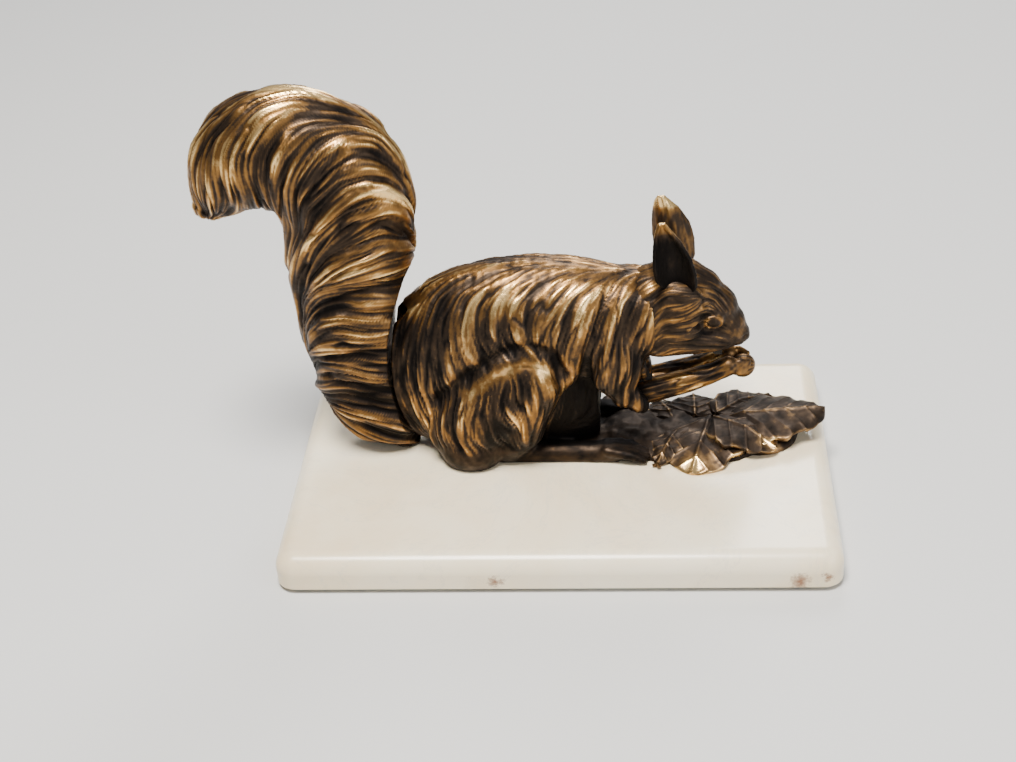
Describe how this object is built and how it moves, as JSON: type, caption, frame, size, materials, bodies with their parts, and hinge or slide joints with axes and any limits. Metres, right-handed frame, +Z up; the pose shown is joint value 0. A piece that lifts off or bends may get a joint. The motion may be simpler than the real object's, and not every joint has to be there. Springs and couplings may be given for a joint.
{
  "type": "nutcracker",
  "caption": "Lever nutcracker cast as a crouching squirrel on a stone plinth: lifting the tail lowers the forelegs, pressing it cracks the nut against the palate.",
  "frame": {"origin": "centre of the plinth's resting face, on the underside of the felt", "axes": "+Z up; +X along the squirrel from its tail towards its nose; +Y towards the squirrel's left side, away from the viewer"},
  "size_m": [0.1689, 0.095, 0.1196],
  "materials": {
    "bronze": "cast bronze with a brown patina, rubbed bright on its ridges",
    "marble": "polished cream marble with faint veins",
    "felt": "dark green felt",
    "steel": "bright steel, slightly dulled",
    "iron": "blackened iron",
    "bearing_brass": "turned brass"
  },
  "bodies": {
    "base": {"plinth": "marble", "felt_pad": "felt", "studs": "steel", "stud_washers": "steel", "stud_nuts": "steel", "body_casting": "bronze", "head_casting": "bronze", "ear_near": "bronze", "ear_far": "bronze", "leaf_bed": "bronze", "pivot_pin": "steel", "pivot_shims": "bearing_brass", "stop_pin": "steel", "upper_jaw_plate": "iron", "jaw_plate_screws": "steel"},
    "lever": {"lever_arm": "iron", "lever_bush": "bearing_brass", "forepaws": "bronze", "held_nut": "bronze", "paw_pins": "steel", "tail_casting": "bronze", "tail_screws": "steel"}
  },
  "joints": [
    {"name": "tail_lever", "type": "hinge", "parent": "base", "child": "lever", "pos_m": [0.017, 0.008, 0.039], "axis": [0, 1, 0], "range_deg": [0, 25]}
  ]
}
